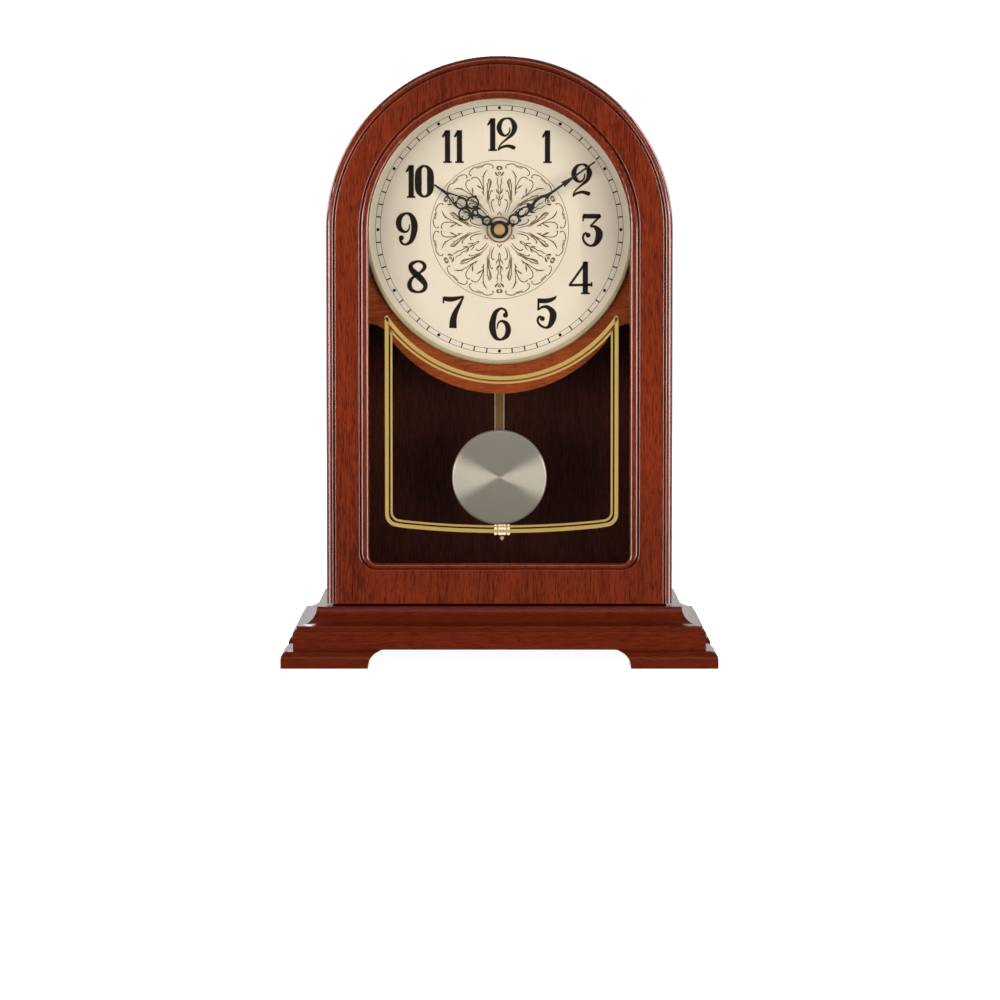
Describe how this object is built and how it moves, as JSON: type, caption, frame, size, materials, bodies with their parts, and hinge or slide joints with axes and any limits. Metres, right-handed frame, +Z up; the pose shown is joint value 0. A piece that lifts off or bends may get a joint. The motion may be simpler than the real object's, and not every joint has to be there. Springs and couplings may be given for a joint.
{
  "type": "desk pendulum clock",
  "caption": "Arched wooden desk clock on a moulded base, with a hinged glazed door, a round dial with pierced hands, a quartz movement and a swinging pendulum with a brushed round bob.",
  "frame": {"origin": "on the floor under the middle of the base, between its front and back", "axes": "+Z up, the dial and door face -Y, +X to the right as seen from the front"},
  "size_m": [0.225, 0.13, 0.3145],
  "materials": {
    "stained_wood": "red-brown stained poplar, satin lacquer, upright grain",
    "base_wood": "red-brown stained poplar mouldings, satin lacquer, grain along their length",
    "panel_wood": "lighter red-brown veneered board, satin",
    "inner_wood": "dark stained board, matt",
    "plain_wood": "unstained softwood, matt",
    "clear_glass": "clear float glass with a gold line printed on its back",
    "dial_cream": "cream enamelled sheet with black and gold print",
    "rim_brass": "dull gold plated sheet",
    "bright_brass": "polished brass",
    "black_hand": "satin black lacquer",
    "zinc_steel": "zinc plated steel",
    "magnet_nickel": "nickel plated magnet",
    "black_plastic": "moulded black plastic, fine matt texture",
    "gear_plastic": "natural acetal",
    "black_rubber": "soft black rubber",
    "coil_copper": "enamelled copper winding",
    "board_green": "green solder mask",
    "cell_jacket": "plain dark cell jacket with bare steel ends",
    "rod_bronze": "bronze brown plated, brushed along its length, bright bevels",
    "bob_nickel": "champagne nickel, brushed in circles",
    "weight_steel": "bare steel disc"
  },
  "bodies": {
    "case": {"plinth_front": "base_wood", "plinth_left": "base_wood", "plinth_right": "base_wood", "plinth_back": "base_wood", "cove_front": "base_wood", "cove_left": "base_wood", "cove_right": "base_wood", "base_board": "base_wood", "case_shell": "stained_wood", "case_floor": "inner_wood", "dial_panel": "panel_wood", "dial_panel_cleats": "plain_wood", "back_panel": "inner_wood", "case_screws": "zinc_steel", "hinge_case_leaves": "bright_brass", "hinge_pins": "bright_brass", "hinge_case_screws": "bright_brass", "catch_magnets": "magnet_nickel", "dial_plate": "dial_cream", "dial_bezel": "rim_brass", "dial_nut": "rim_brass", "movement_washer": "black_rubber", "movement_front_case": "black_plastic", "movement_back_cover": "black_plastic", "train_bridge": "black_plastic", "stator": "zinc_steel", "step_coil": "coil_copper", "circuit_board": "board_green", "battery_cells": "cell_jacket", "battery_contacts": "zinc_steel", "pendulum_coil": "coil_copper"},
    "front_door": {"front_door_frame": "stained_wood", "front_glass": "clear_glass", "glass_retainer": "inner_wood", "front_door_hinge_leaves": "bright_brass", "front_door_hinge_screws": "bright_brass", "front_door_strike": "zinc_steel"},
    "back_door": {"back_door": "inner_wood", "back_door_hinge_leaves": "bright_brass", "back_door_hinge_screws": "bright_brass", "back_door_strike": "zinc_steel", "back_door_knob": "bright_brass"},
    "minute_hand": {"minute_hand": "black_hand", "cannon_pinion": "gear_plastic", "hand_nut": "bright_brass"},
    "hour_hand": {"hour_hand": "black_hand", "hour_wheel": "gear_plastic"},
    "minute_wheel": {"minute_wheel": "gear_plastic"},
    "setting_knob": {"setting_wheel": "gear_plastic", "setting_knob": "black_plastic"},
    "centre_wheel": {"centre_wheel": "gear_plastic"},
    "third_wheel": {"third_wheel": "gear_plastic"},
    "fourth_wheel": {"fourth_wheel": "gear_plastic"},
    "fifth_wheel": {"fifth_wheel": "gear_plastic"},
    "rotor": {"rotor": "gear_plastic"},
    "pendulum": {"pendulum_hanger": "black_plastic", "pendulum_magnet": "magnet_nickel", "pendulum_rod": "rod_bronze", "bob_face": "bob_nickel", "bob_weight": "weight_steel"}
  },
  "joints": [
    {"name": "front_door_swing", "type": "hinge", "parent": "case", "child": "front_door", "pos_m": [-0.0873, -0.02685, 0.136], "axis": [0, 0, -1], "range_deg": [0, 95]},
    {"name": "back_door_swing", "type": "hinge", "parent": "case", "child": "back_door", "pos_m": [0.0525, 0.05115, 0.203], "axis": [0, 0, -1], "range_deg": [0, 95]},
    {"name": "minute_hand_turn", "type": "hinge", "parent": "case", "child": "minute_hand", "pos_m": [0, -0.025, 0.225], "axis": [0, 1, 0], "continuous": true},
    {"name": "hour_hand_turn", "type": "hinge", "parent": "case", "child": "hour_hand", "pos_m": [0, -0.023, 0.225], "axis": [0, 1, 0], "continuous": true},
    {"name": "minute_wheel_turn", "type": "hinge", "parent": "case", "child": "minute_wheel", "pos_m": [0.01039, -0.006, 0.219], "axis": [0, 1, 0], "continuous": true},
    {"name": "setting_knob_turn", "type": "hinge", "parent": "case", "child": "setting_knob", "pos_m": [0.02369, 0.016, 0.22134], "axis": [0, 1, 0], "continuous": true},
    {"name": "rotor_turn", "type": "hinge", "parent": "case", "child": "rotor", "pos_m": [-0.01873, 0.003, 0.22512], "axis": [0, 1, 0], "continuous": true},
    {"name": "fifth_wheel_turn", "type": "hinge", "parent": "case", "child": "fifth_wheel", "pos_m": [-0.01873, 0.001, 0.23262], "axis": [0, 1, 0], "continuous": true},
    {"name": "fourth_wheel_turn", "type": "hinge", "parent": "case", "child": "fourth_wheel", "pos_m": [-0.00998, -0.001, 0.23262], "axis": [0, 1, 0], "continuous": true},
    {"name": "third_wheel_turn", "type": "hinge", "parent": "case", "child": "third_wheel", "pos_m": [0, -0.003, 0.23625], "axis": [0, 1, 0], "continuous": true},
    {"name": "centre_wheel_turn", "type": "hinge", "parent": "case", "child": "centre_wheel", "pos_m": [0, -0.005, 0.225], "axis": [0, 1, 0], "continuous": true},
    {"name": "pendulum_swing", "type": "hinge", "parent": "case", "child": "pendulum", "pos_m": [0, 0.0045, 0.1995], "axis": [0, 1, 0], "range_deg": [-12, 12]}
  ],
  "couplings": [
    {"joint": "hour_hand_turn", "follows": "minute_hand_turn", "ratio": 0.083333},
    {"joint": "minute_wheel_turn", "follows": "minute_hand_turn", "ratio": -0.33333},
    {"joint": "setting_knob_turn", "follows": "minute_hand_turn", "ratio": 0.66667},
    {"joint": "fifth_wheel_turn", "follows": "rotor_turn", "ratio": -0.2},
    {"joint": "fourth_wheel_turn", "follows": "rotor_turn", "ratio": 0.033333},
    {"joint": "third_wheel_turn", "follows": "rotor_turn", "ratio": -0.0044444},
    {"joint": "centre_wheel_turn", "follows": "rotor_turn", "ratio": 0.00055556}
  ]
}
